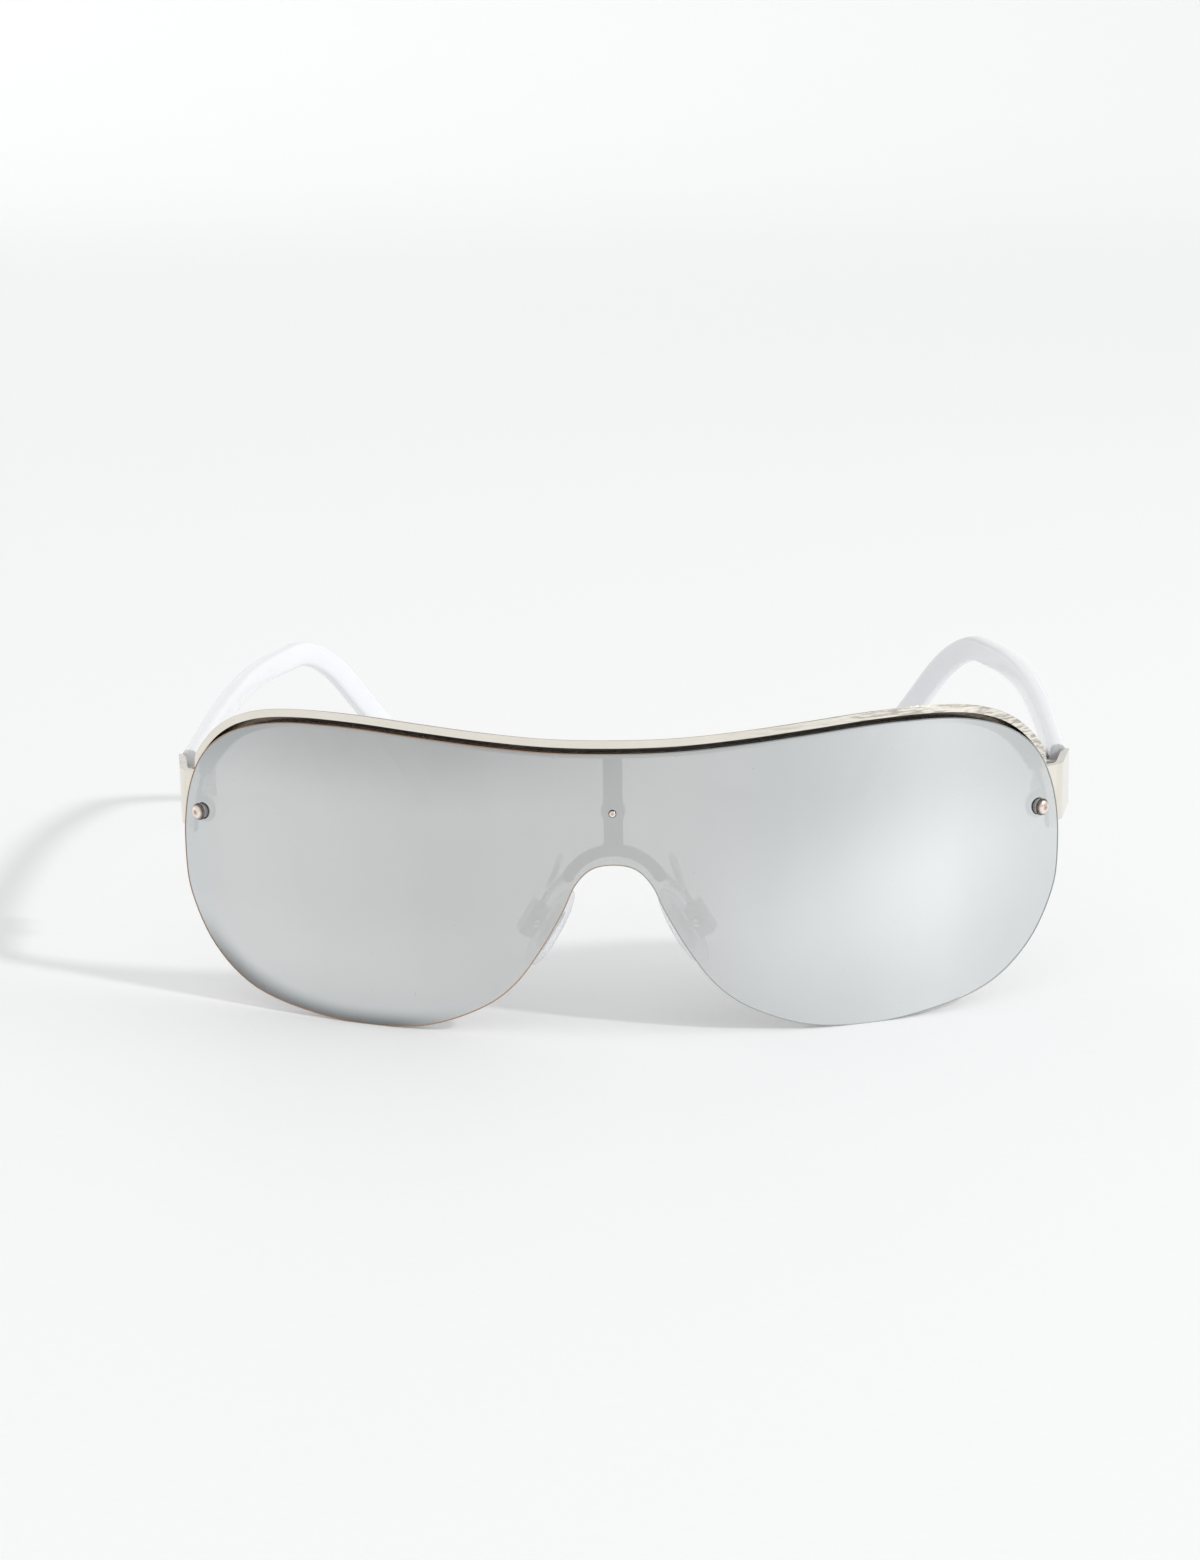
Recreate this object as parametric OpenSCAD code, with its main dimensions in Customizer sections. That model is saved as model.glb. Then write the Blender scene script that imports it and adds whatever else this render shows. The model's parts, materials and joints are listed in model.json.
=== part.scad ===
// Shield sunglasses: one mirrored shield lens hung from a metal brow bar,
// with folding plastic temples and silicone nose pads on wire arms.
// +X is the wearer's left, -Y is the way the wearer looks, +Z is up.
// The lens lobes and the temple tips stand on the plane z = 0.

/* [Shield lens] */
// Width of the lens, straight across
lens_w = 142; // [138:1:144]
// Height of the lens at its shoulders, above its lowest edge
lens_h = 48; // [46:0.5:50]
// Radius that the lens wraps round the face
lens_r = 110; // [104:1:125]
// Thickness of the lens
lens_t = 1.8; // [1.4:0.1:2.2]
// How far the top edge dips in the middle
brow_dip = 2.9; // [1.5:0.1:4]
// Height of the nose notch above the lowest edge
notch_h = 27.7; // [26:0.1:28.5]
// Distance from the middle to the lowest point of a lobe
lobe_x = 38; // [34:1:42]

/* [Brow bar] */
// Height of the bar's front face
bar_h = 1.3; // [1:0.1:2]
// How far the bar stands out in front of the lens
bar_reach = 0.4; // [0.2:0.1:1]
// Gap between the bar and the lens's top edge
edge_gap = 1; // [0.7:0.1:1.3]
// Width of the lip behind the lens
lip_w = 2; // [1.6:0.1:2.4]
// Thickness of the lip behind the lens
lip_t = 0.7; // [0.5:0.1:1]
// How far the bar's top falls away towards its back
bar_fall = 0.65; // [0.5:0.05:1]

/* [Bridge] */
// Width of the strut behind the lens
strut_w = 3; // [2.4:0.1:3.6]
// Thickness of the strut and the arch
strut_t = 1.2; // [1:0.1:1.6]
// Height of the boss that holds the lens, as a share of the way from the arch to the lens's top
boss_share = 0.41; // [0.3:0.01:0.5]
// Radius of that boss
boss_r = 1.9; // [1.6:0.1:2.2]
// Radius of the arch, to the middle of its band
arch_r = 8.2; // [7.6:0.1:9]
// Width of the arch's band
arch_w = 1.9; // [1.5:0.1:2.2]
// How far the arch's crown stands above the notch, to the middle of its band
arch_rise = 1.7; // [1.3:0.1:2]
// Half of the angle that the arch spans
arch_half_angle = 60; // [50:1:70]

/* [End pieces] */
// How far the front corners of the end pieces stand out past the lens's sides
corner_out = 1; // [0.8:0.1:2]
// Height of an end piece's top edge, as a share of the lens's height
end_share = 0.771; // [0.762:0.001:0.78]
// Height of an end piece
end_h = 9.3; // [8.5:0.1:10]
// Thickness of the bent strip
end_t = 1.2; // [1:0.1:1.5]
// Length of the side wall, from the front corner to the hinge
wall_len = 12; // [11:0.5:14]
// How far the side wall leans outwards over its length
wall_out = 2.4; // [1.5:0.1:3]
// Radius of the lug that a lens screw goes into
lug_r = 2.3; // [2:0.1:2.6]

/* [Lens screws] */
// How far a lens screw stands in from the lens's side
screw_in = 3.2; // [2.9:0.1:4]
// How far the lens screws lie below the top of the end pieces
screw_drop = 5.8; // [4.5:0.1:6.5]
// Radius of a dome head
head_r = 1.4; // [1.25:0.05:1.7]
// Height of a dome head
head_h = 0.9; // [0.6:0.1:1.2]
// Radius of a screw's shank
shank_r = 0.7; // [0.5:0.05:0.8]
// Wall of the nylon bushing in the lens
bush_wall = 0.3; // [0.2:0.05:0.4]
// Radius of the small screw in the middle
pin_r = 0.45; // [0.35:0.05:0.6]
// Radius of that screw's head
pin_head_r = 0.75; // [0.65:0.05:0.9]

/* [Nose pads] */
// Length of a nose pad
pad_len = 14; // [12:0.5:15]
// Width of a nose pad
pad_w = 7.5; // [6.5:0.5:8.5]
// Thickness of a nose pad
pad_t = 2.4; // [2:0.1:2.8]
// Lean of the pads in the front view
pad_lean = 31; // [26:1:34]
// Turn of the pads towards the face
pad_splay = 12; // [8:1:18]
// Distance from the middle to a pad's screw
pad_x = 13; // [12.5:0.1:14]
// Distance from the lens's front to a pad's screw
pad_y = 11; // [10:0.1:12]
// How far the pad screws lie below the notch
pad_drop = 11.5; // [10.5:0.1:12]
// How far a pad rocks each way
pad_rock = 8; // [4:1:10]
// Thickness of the wire of a pad arm
wire_d = 1.1; // [0.9:0.1:1.3]
// How far a pad arm's first bend stands out beside the arch's foot
wire_side = 3.4; // [3:0.1:4]
// How far that bend lies below the foot
wire_dip = 3.4; // [3:0.1:3.8]
// How far a pad arm reaches back from the foot
wire_reach = 8; // [7.5:0.1:9]
// How far its second bend stands above the foot
wire_rise = 0.9; // [0.6:0.1:1.4]

/* [Temples] */
// Length of a temple from the hinge to its bend
arm_len = 98; // [90:1:110]
// Height of a temple at the hinge
arm_h = 7; // [6:0.1:7.6]
// Thickness of a temple at the hinge
arm_t = 3; // [2.8:0.1:3.6]
// How far the temple's outer face lies inside that of the end piece
arm_in = 0.3; // [0.1:0.1:0.8]
// How far the temple's top stands above the end piece
arm_lift = 0.7; // [0.2:0.1:1]
// How far the temple bows outwards
arm_bow = 1.3; // [0.5:0.1:2.5]
// How far the temple turns inwards before the bend
bend_in = 6; // [4:0.1:7]
// How far the temple's top edge rises to the bend
arm_rise = 1.4; // [0:0.1:3]
// How far the ear hook reaches back from the bend
hook_back = 25; // [18:1:30]
// How far the ear hook turns inwards
hook_in = 22; // [10:1:26]

/* [Hinges] */
// Radius of the knuckles
knuckle_r = 1.25; // [1.1:0.05:1.4]
// Height of one knuckle
knuckle_h = 1.7; // [1.4:0.1:1.9]
// Thickness of the hinge leaves
leaf_t = 0.8; // [0.6:0.1:1]
// Length of the hinge leaves
leaf_len = 6.5; // [6:0.1:7.5]
// Radius of the hinge screw
hinge_pin_r = 0.6; // [0.5:0.05:0.7]

/* [Fits] */
// Clearance round a shaft in its hole
fit_gap = 0.05; // [0.02:0.01:0.08]
// Gap between parts that are clamped or brazed together
seat_gap = 0.04; // [0.02:0.01:0.06]
// Gap that lets a part swing past its neighbour
swing_gap = 0.15; // [0.1:0.01:0.25]

/* [Hidden] */

// Fineness of round shapes
$fn = 48;
// Samples between two outline points, and along each stretch of a temple
edge_steps = 6;
arm_steps = 5;
// Overrun of cuts
over = 2;

// Outline of one half of the lens. From the notch's crown to the lobe's lowest point, the
// columns are shares of lobe_x and of notch_h.
notch_shares = [
    [0, 1], [0.09, 0.975], [0.158, 0.88], [0.212, 0.722], [0.303, 0.504],
    [0.41, 0.305], [0.547, 0.159], [0.771, 0.036], [1, 0]
];
// From there up the side, shares of the way from lobe_x to the edge, and of lens_h.
side_shares = [
    [0.29, 0.012], [0.63, 0.069], [0.848, 0.188], [0.973, 0.354], [1, 0.5],
    [0.989, 0.644], [0.945, 0.764]
];
// Over the brow, shares of half the width, and of brow_dip below the shoulders.
brow_shares = [
    [0.938, 2.3], [0.876, 1.05], [0.789, 0.28], [0.69, 0], [0.563, 0.05],
    [0.423, 0.34], [0.282, 0.67], [0.141, 0.93], [0, 1]
];
// Gap between lens and bar, as a share of edge_gap, against the share of half the width
gap_shares = [[0, 1], [0.8, 1], [0.85, 0.85], [0.9, 0.5], [0.935, 0.2], [0.955, 0.12], [1, 0.12]];
// How far the bar's face stands in front of its lip, as a share of its reach in the middle
reach_shares = [[0, 1], [0.8, 1], [0.93, 0.75], [0.955, 0.7], [0.975, 0.08], [1, 0.08]];

lens_x = lens_w / 2;
arch_top = notch_h + arch_rise;
boss_z = arch_top + boss_share * (lens_h - brow_dip - arch_top);
pad_z = notch_h - pad_drop;
outline = concat(
    [for (s = notch_shares) [s[0] * lobe_x, s[1] * notch_h]],
    [for (s = side_shares) [lobe_x + s[0] * (lens_x - lobe_x), s[1] * lens_h]],
    [for (s = brow_shares) [s[0] * lens_x, lens_h - s[1] * brow_dip]]
);

// Smooth curve through points; the first and last points only steer its ends
function mix4(a, b, c, d, t) =
    b + t * (c - a) / 2 + t * t * (2 * a - 5 * b + 4 * c - d) / 2
    + t * t * t * (3 * b - a - 3 * c + d) / 2;
function curve(p, n) = concat(
    [for (i = [1 : len(p) - 3], k = [0 : n - 1]) mix4(p[i - 1], p[i], p[i + 1], p[i + 2], k / n)],
    [p[len(p) - 2]]
);
function flip(p) = [-p[0], p[1]];
function backwards(p) = [for (i = [len(p) - 1 : -1 : 0]) p[i]];
last = len(outline) - 1;
half = curve(concat([flip(outline[1])], outline, [flip(outline[last - 1])]), edge_steps);
widest = max([for (p = half) p[0]]);
widest_at = [for (i = [0 : len(half) - 1]) if (half[i][0] == widest) i][0];
lower_half = [for (i = [0 : widest_at - 1]) half[i]];
upper_half = [for (i = [widest_at : len(half) - 1]) half[i]];

// A point on the wrap: arc is the way round from the middle, depth the distance behind the
// lens's front face
function wrap(arc, z, depth) =
    let (a = arc / lens_r * 180 / PI)
    [(lens_r - depth) * sin(a), lens_r - (lens_r - depth) * cos(a), z];
function arc_of(x) = lens_r * asin(x / lens_r) * PI / 180;
function sag(x, depth) = lens_r - sqrt(pow(lens_r - depth, 2) - x * x);
function unit(v) = v / norm(v);

// Solid through a list of rings with equal counts; each end is closed by a fan from point hub
module skin(rings, hub) {
    n = len(rings[0]);
    m = len(rings);
    sides = [
        for (i = [0 : m - 2], k = [0 : n - 1])
            let (a = i * n + k, b = i * n + (k + 1) % n)
            each [[a, b, b + n], [a, b + n, a + n]]
    ];
    caps = [
        for (k = [1 : n - 2])
            let (a = (hub + k) % n, b = (hub + k + 1) % n, top = (m - 1) * n)
            each [[hub, b, a], [top + hub, top + a, top + b]]
    ];
    polyhedron(points = [for (r = rings) each r], faces = concat(sides, caps), convexity = 8);
}

module sided(side) mirror([side < 0 ? 1 : 0, 0, 0]) children();

// Seat of the metal behind the lens
lens_back = lens_t + seat_gap;
lip_back = lens_back + lip_t;
end_x = lens_x + corner_out;
end_top = end_share * lens_h;
end_bottom = end_top - end_h;
screw_x = lens_x - screw_in;
screw_z = end_top - screw_drop;
corner_y = sag(end_x, lens_back);
wall_turn = asin(wall_out / wall_len);
hinge_y = corner_y + wall_len * cos(wall_turn) + end_t * sin(wall_turn);

// Temple: centre line in the plan and the height of its top edge
arm_x = end_x + wall_out - arm_in - arm_t / 2;
arm_y = hinge_y + swing_gap;
arm_top = end_top + arm_lift;
hinge_x = arm_x - arm_t / 2 - leaf_t / 2 - knuckle_r * 0.9;
// Rows: shares of arm_len, of arm_bow, of bend_in, of arm_rise, of arm_h and of arm_t
arm_shares = [
    [0, 0, 0, 0, 1, 1], [0.05, 0.08, 0, 0.03, 0.97, 1], [0.1, 0.2, 0, 0.1, 0.92, 1],
    [0.26, 0.65, 0, 0.3, 0.8, 1.03], [0.45, 0.95, 0, 0.55, 0.7, 1.1],
    [0.64, 1, 0.05, 0.8, 0.66, 1.15], [0.8, 0.72, 0.22, 0.95, 0.68, 1.15],
    [0.92, 0.42, 0.55, 1, 0.71, 1.15]
];
// Rows: shares of hook_back, of hook_in, of the hook's drop, of arm_h and of arm_t
hook_shares = [
    [0, 0, 0, 0.72, 1.15], [0.28, 0.21, 0.12, 0.72, 1.1], [0.52, 0.47, 0.38, 0.7, 1.15],
    [0.72, 0.7, 0.62, 0.7, 1.15], [0.89, 0.88, 0.85, 0.66, 1.1], [1, 1, 1, 0.5, 0.9]
];
bend_x = arm_x - bend_in;
function arm_rows(drop) = concat(
    [for (s = arm_shares) [
        arm_x + s[1] * arm_bow - s[2] * bend_in, arm_y + s[0] * arm_len,
        arm_top + s[3] * arm_rise - s[4] * arm_h / 2, s[4] * arm_h, s[5] * arm_t
    ]],
    [for (s = hook_shares) [
        bend_x - s[1] * hook_in, arm_y + arm_len + s[0] * hook_back,
        arm_top + arm_rise - hook_shares[0][3] * arm_h / 2 - s[2] * drop,
        s[3] * arm_h, s[4] * arm_t
    ]]
);
section_sides = 16;
// Roundness of the temple's section: 1 is an ellipse, 0 a rectangle
round_share = 0.6;
function bulge(v) = sign(v) * pow(abs(v), round_share);
function arm_ring(rows, i) =
    let (
        a = rows[max(i - 1, 0)], b = rows[min(i + 1, len(rows) - 1)], p = rows[i],
        way = unit([b[0] - a[0], b[1] - a[1], b[2] - a[2]]),
        out = unit(cross(way, [0, 0, 1])), up = cross(out, way)
    )
    [for (k = [0 : section_sides - 1])
        let (q = k * 360 / section_sides)
        [p[0], p[1], p[2]] + out * bulge(cos(q)) * p[4] / 2 + up * bulge(sin(q)) * p[3] / 2];
function arm_rings(drop) =
    let (r = arm_rows(drop), n = len(r) - 1,
        rows = curve(concat([2 * r[0] - r[1]], r, [2 * r[n] - r[n - 1]]), arm_steps))
    [for (i = [0 : len(rows) - 1]) arm_ring(rows, i)];
function lowest(rings) = min([for (r = rings, p = r) p[2]]);
function furthest(rings) = max([for (r = rings, p = r) p[1]]);
// The hook drops until the temple's lowest point is on the ground
first_drop = arm_top - arm_h;
second_drop = first_drop + lowest(arm_rings(first_drop));
hook_drop = second_drop + lowest(arm_rings(second_drop));
temple_rings = arm_rings(hook_drop);

// The origin lies under the middle of the whole
front_y = -max(bar_reach, pin_head_r * 0.6);
back_y = furthest(temple_rings);
mid_y = (front_y + back_y) / 2;
module place(side) translate([0, -mid_y, 0]) sided(side) children();

// Puts a child's +Z along the lens's normal at a lens screw, with zero at the front face
module at_screw() {
    translate([screw_x, sag(screw_x, 0), screw_z])
        rotate([0, 0, asin(screw_x / lens_r)])
            rotate([90, 0, 0])
                children();
}
bush_r = shank_r + fit_gap + bush_wall;
bush_rim = bush_wall;
bush_rim_r = head_r - bush_wall / 2;

// A prism through the wrap whose walls stand square to the lens
module edge_prism() {
    columns = concat(backwards([for (i = [1 : len(lower_half) - 1]) flip(lower_half[i])]), lower_half);
    rings = [
        for (c = columns)
            let (arc = arc_of(c[0]), top = lookup(abs(c[0]), upper_half))
            [
                wrap(arc, top, -over), wrap(arc, top, lens_t + over),
                wrap(arc, c[1], lens_t + over), wrap(arc, c[1], -over)
            ]
    ];
    skin(rings, 0);
}

module shield_lens() {
    color([0.74, 0.77, 0.8, 0.8])
        place(1)
            difference() {
                intersection() {
                    translate([0, lens_r, 0])
                        difference() {
                            cylinder(h = lens_h, r = lens_r, $fn = 360);
                            translate([0, 0, -over])
                                cylinder(h = lens_h + 2 * over, r = lens_r - lens_t, $fn = 360);
                        }
                    edge_prism();
                }
                for (side = [-1, 1])
                    sided(side)
                        at_screw()
                            translate([0, 0, -lens_t - over])
                                cylinder(h = lens_t + 2 * over, r = bush_r + fit_gap);
                translate([0, lens_t + over, boss_z])
                    rotate([90, 0, 0])
                        cylinder(h = lens_t + 2 * over, r = pin_r + fit_gap);
            }
}

// The bar follows the lens's upper edge on both sides
bar_start = end_top - 2 * bar_h;
bar_half = [for (p = upper_half) if (p[1] > bar_start) p];
bar_path = concat(bar_half, backwards([for (i = [0 : len(bar_half) - 2]) flip(bar_half[i])]));
function bar_ring(i) =
    let (
        a = bar_path[max(i - 1, 0)], b = bar_path[min(i + 1, len(bar_path) - 1)], p = bar_path[i],
        du = arc_of(b[0]) - arc_of(a[0]), dz = b[1] - a[1], out = unit([dz, -du]),
        at = abs(p[0]) / lens_x, gap = edge_gap * lookup(at, gap_shares),
        front = lens_back - (lens_back + bar_reach) * lookup(at, reach_shares)
    )
    [for (q = [
            [gap, lens_back], [gap - lip_w, lens_back], [gap - lip_w, lip_back],
            [gap + bar_h - bar_fall, lip_back], [gap + bar_h, front], [gap, front]
        ])
        wrap(arc_of(p[0]) + out[0] * q[0], p[1] + out[1] * q[0], q[1])];

module brow_bar() {
    color([0.86, 0.8, 0.68])
        place(1)
            difference() {
                skin([for (i = [0 : len(bar_path) - 1]) bar_ring(i)], 0);
                translate([-lens_w, -over, -over])
                    cube([2 * lens_w, lens_r, end_top + seat_gap + over]);
            }
}

bridge_y = lip_back + seat_gap;
arch_z = arch_top - arch_r;
foot = [arch_r * sin(arch_half_angle), arch_z + arch_r * cos(arch_half_angle)];
strut_top = lens_h - brow_dip + edge_gap - lip_w / 2;

// Puts a child's +Z along -Y, with zero at the back of the bridge
module from_back(z) translate([0, bridge_y + strut_t, z]) rotate([90, 0, 0]) children();

module bridge() {
    reach = 3 * (foot - [0, arch_z]);
    color([0.86, 0.8, 0.68])
        place(1)
            difference() {
                union() {
                    translate([-strut_w / 2, bridge_y, arch_top])
                        cube([strut_w, strut_t, strut_top - arch_top]);
                    from_back(arch_z)
                        intersection() {
                            difference() {
                                cylinder(h = strut_t, r = arch_r + arch_w / 2, $fn = 96);
                                translate([0, 0, -over])
                                    cylinder(h = strut_t + 2 * over, r = arch_r - arch_w / 2, $fn = 96);
                            }
                            translate([0, 0, -over])
                                linear_extrude(height = strut_t + 2 * over)
                                    polygon([[0, 0], reach, [0, 3 * arch_r], flip(reach)]);
                        }
                    for (s = [-1, 1])
                        translate([s * foot[0], 0, 0])
                            from_back(foot[1])
                                cylinder(h = strut_t, r = arch_w / 2 + seat_gap);
                    from_back(boss_z)
                        cylinder(h = bridge_y + strut_t - lens_back, r = boss_r);
                }
                from_back(boss_z)
                    translate([0, 0, -over])
                        cylinder(h = bridge_y + strut_t + over, r = pin_r + fit_gap);
            }
}

module centre_screw() {
    color([0.8, 0.78, 0.74])
        place(1)
            translate([0, 0, boss_z])
                rotate([90, 0, 0]) {
                    translate([0, 0, -bridge_y - strut_t])
                        cylinder(h = bridge_y + strut_t + seat_gap, r = pin_r);
                    translate([0, 0, seat_gap])
                        dome(pin_head_r, pin_head_r * 0.6);
                }
}

// A low dome with its flat side down
module dome(r, h) {
    ball = (r * r + h * h) / (2 * h);
    rotate_extrude()
        intersection() {
            translate([0, h - ball])
                circle(r = ball, $fn = 96);
            square([r, h]);
        }
}

// Edge of the end piece behind the lens, followed by its outer corners
end_inner = [
    for (i = [0 : len(upper_half) - 2])
        let (p = upper_half[i], way = unit(upper_half[i + 1] - p))
        if (p[1] > end_bottom - bar_h && p[1] < end_top + lip_w) p - lip_w * [way[1], -way[0]]
];
plate_x = end_x - seat_gap;
end_plan = concat(end_inner, [[plate_x, end_top + lip_w], [plate_x, end_bottom - bar_h]]);
edge_at = [for (p = upper_half) if (p[0] > screw_x) [p[1], p[0]]];
tip_r = lip_w / 2 - seat_gap;
tip_x = lookup(end_bottom, edge_at) - lip_w / 2;

// Puts a child in the frame of the leaning side wall: its outer face at x = 0, its front at y = 0
module at_wall() translate([end_x, corner_y, 0]) rotate([0, 0, -wall_turn]) children();

// A strip that follows the lens's back, from height low to height high
module behind_lens(low, high) {
    translate([0, lens_r, low])
        difference() {
            cylinder(h = high - low, r = lens_r - lens_back, $fn = 360);
            translate([0, 0, -over])
                cylinder(h = high - low + 2 * over, r = lens_r - lens_back - end_t, $fn = 360);
        }
}

// A round peg along Y that reaches through the side of the lens
module side_peg(x, z, r) translate([x, lens_r / 2, z]) rotate([90, 0, 0]) cylinder(h = lens_r, r = r);

module endpiece(side) {
    color([0.88, 0.83, 0.72])
        place(side)
            difference() {
                union() {
                    intersection() {
                        behind_lens(end_bottom, end_top);
                        union() {
                            translate([0, lens_r / 2, 0])
                                rotate([90, 0, 0])
                                    linear_extrude(height = lens_r)
                                        polygon(end_plan);
                            side_peg(screw_x, screw_z, lug_r);
                        }
                    }
                    intersection() {
                        behind_lens(end_bottom - lip_w, end_bottom + lip_w);
                        side_peg(tip_x, end_bottom, tip_r);
                    }
                    at_wall()
                        translate([-end_t, 0, end_bottom + seat_gap])
                            cube([end_t, wall_len, end_h - 2 * seat_gap]);
                }
                at_screw()
                    translate([0, 0, -lens_back - end_t - over])
                        cylinder(h = lens_back + end_t + 2 * over, r = shank_r + fit_gap);
            }
}

module lens_bushing(side) {
    color([0.9, 0.92, 0.94, 0.7])
        place(side)
            at_screw()
                difference() {
                    union() {
                        translate([0, 0, -lens_t])
                            cylinder(h = lens_t + seat_gap, r = bush_r);
                        translate([0, 0, seat_gap])
                            cylinder(h = bush_rim, r = bush_rim_r);
                    }
                    translate([0, 0, -lens_t - over])
                        cylinder(h = lens_t + 2 * over, r = shank_r + fit_gap);
                }
}

module lens_screw(side) {
    head_z = 2 * seat_gap + bush_rim;
    color([0.82, 0.78, 0.72])
        place(side)
            at_screw() {
                translate([0, 0, -lens_back - end_t])
                    cylinder(h = lens_back + end_t + head_z, r = shank_r);
                translate([0, 0, head_z])
                    dome(head_r, head_h);
            }
}

hinge_z = (end_top + end_bottom) / 2 + knuckle_h / 4;
stack_h = 3 * knuckle_h + 2 * fit_gap;
stack_z = hinge_z - stack_h / 2;
function knuckle_z(i) = stack_z + i * (knuckle_h + fit_gap);

// Axis of the hinge in the frame of the side wall, and the inner face of the leaf on that wall
axis_x = (hinge_x - end_x) * cos(wall_turn) - (hinge_y - corner_y) * sin(wall_turn);
axis_y = (hinge_x - end_x) * sin(wall_turn) + (hinge_y - corner_y) * cos(wall_turn);
wall_leaf_x = -end_t - seat_gap - leaf_t;

module front_hinge(side) {
    color([0.8, 0.76, 0.66])
        place(side)
            at_wall()
                difference() {
                    union() {
                        translate([wall_leaf_x, axis_y - leaf_len, stack_z])
                            cube([leaf_t, leaf_len - knuckle_r / 2, stack_h]);
                        for (i = [0, 2])
                            translate([axis_x, axis_y, knuckle_z(i)]) {
                                cylinder(h = knuckle_h, r = knuckle_r);
                                translate([0, -2 * knuckle_r, 0])
                                    cube([wall_leaf_x + leaf_t / 2 - axis_x, knuckle_r, knuckle_h]);
                                translate([-knuckle_r, -2 * knuckle_r, 0])
                                    cube([2 * knuckle_r, 2 * knuckle_r, knuckle_h]);
                            }
                    }
                    translate([axis_x, axis_y, stack_z - over])
                        cylinder(h = stack_h + 2 * over, r = hinge_pin_r + fit_gap);
                }
}

module hinge_screw(side) {
    color([0.75, 0.72, 0.66])
        place(side)
            translate([hinge_x, hinge_y, stack_z]) {
                cylinder(h = stack_h + fit_gap, r = hinge_pin_r);
                translate([0, 0, stack_h + fit_gap])
                    dome(knuckle_r * 0.9, hinge_pin_r * 0.8);
            }
}

leaf_x = arm_x - arm_t / 2 - seat_gap - leaf_t;
leaf_y = hinge_y + knuckle_r + swing_gap;
rivet_r = leaf_t * 0.75;
rivet_y = [for (share = [0.35, 0.8]) leaf_y + share * leaf_len];

module temple_hinge(side) {
    color([0.8, 0.76, 0.66])
        place(side)
            difference() {
                union() {
                    translate([leaf_x, leaf_y, stack_z])
                        cube([leaf_t, leaf_len, stack_h]);
                    translate([hinge_x, hinge_y, knuckle_z(1)]) {
                        cylinder(h = knuckle_h, r = knuckle_r);
                        cube([knuckle_r, knuckle_r + swing_gap + leaf_t, knuckle_h]);
                        translate([0, knuckle_r + swing_gap, 0])
                            cube([leaf_x + leaf_t - hinge_x, leaf_t, knuckle_h]);
                    }
                }
                translate([hinge_x, hinge_y, stack_z - over])
                    cylinder(h = stack_h + 2 * over, r = hinge_pin_r + fit_gap);
                for (y = rivet_y)
                    translate([leaf_x - over, y, hinge_z])
                        rotate([0, 90, 0])
                            cylinder(h = leaf_t + 2 * over, r = rivet_r + fit_gap);
            }
}

module temple_rivets(side) {
    color([0.86, 0.84, 0.8])
        place(side)
            for (y = rivet_y)
                translate([leaf_x, y, hinge_z])
                    rotate([0, 90, 0]) {
                        translate([0, 0, -seat_gap])
                            cylinder(h = leaf_t + arm_t / 2 + seat_gap, r = rivet_r);
                        translate([0, 0, -seat_gap])
                            rotate([180, 0, 0])
                                dome(rivet_r * 1.5, rivet_r * 0.6);
                    }
}

module temple(side) {
    color([0.96, 0.96, 0.97])
        place(side)
            difference() {
                skin(temple_rings, 0);
                for (y = rivet_y)
                    translate([arm_x - arm_t, y, hinge_z])
                        rotate([0, 90, 0])
                            cylinder(h = arm_t + seat_gap, r = rivet_r + fit_gap);
            }
}

// Nose pads in their own frame: +Z up the pad, -X towards the nose, +Y along the pad's screw
module at_pad()
    translate([pad_x, pad_y, pad_z])
        rotate([0, -pad_lean, 0])
            rotate([0, 0, -pad_splay])
                children();
// The core's tongue turns on the screw between the two ears of the box
ear_t = 0.8;
tongue_t = 1.4;
tongue_r = 0.9;
pad_screw_r = 0.5;
box_half = tongue_t / 2 + swing_gap + ear_t;
// Height of the box, and how far it reaches behind the screw
box_h = 5.4;
box_deep = 1.6;
// Half the height of the slot in the box, with room for the tongue to rock
slot_half = tongue_r + 2 * swing_gap;
// Thickness of the core's plate inside the pad
core_t = 0.8;
// Gap between a pad and its box when the pad has rocked, and from the screw to the pad's middle
pad_gap = 0.5;
pad_off = tongue_r + box_h / 2 * sin(pad_rock) + pad_gap + pad_t / 2;

module pad_box(side) {
    color([0.86, 0.84, 0.8])
        place(side)
            at_pad()
                difference() {
                    translate([-tongue_r, -box_half, -box_h / 2])
                        cube([tongue_r + box_deep, 2 * box_half, box_h]);
                    translate([-tongue_r - over, -tongue_t / 2 - swing_gap, -slot_half])
                        cube([2 * tongue_r + swing_gap + over, tongue_t + 2 * swing_gap, 2 * slot_half]);
                    translate([0, -box_half - over, 0])
                        rotate([-90, 0, 0])
                            cylinder(h = 2 * box_half + 2 * over, r = pad_screw_r + fit_gap);
                }
}

module pad_screw(side) {
    color([0.82, 0.8, 0.76])
        place(side)
            at_pad()
                rotate([-90, 0, 0]) {
                    translate([0, 0, -box_half - seat_gap])
                        cylinder(h = 2 * box_half + seat_gap, r = pad_screw_r);
                    translate([0, 0, -box_half - seat_gap])
                        rotate([180, 0, 0])
                            dome(pad_screw_r * 1.8, pad_screw_r * 0.8);
                }
}

// Rounded plate across X: stacked ovals that swell towards the middle
pad_levels = [0, 0.25, 0.5, 0.75, 1];
pad_level_shares = [0.86, 0.97, 1, 0.93, 0.78];
pad_sides = 28;
function oval(x, len_y, len_z) = [
    for (k = [0 : pad_sides - 1])
        let (q = k * 360 / pad_sides)
        [x, cos(q) * (1 - 0.12 * sin(q)) * len_y / 2, sin(q) * len_z / 2]
];

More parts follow.
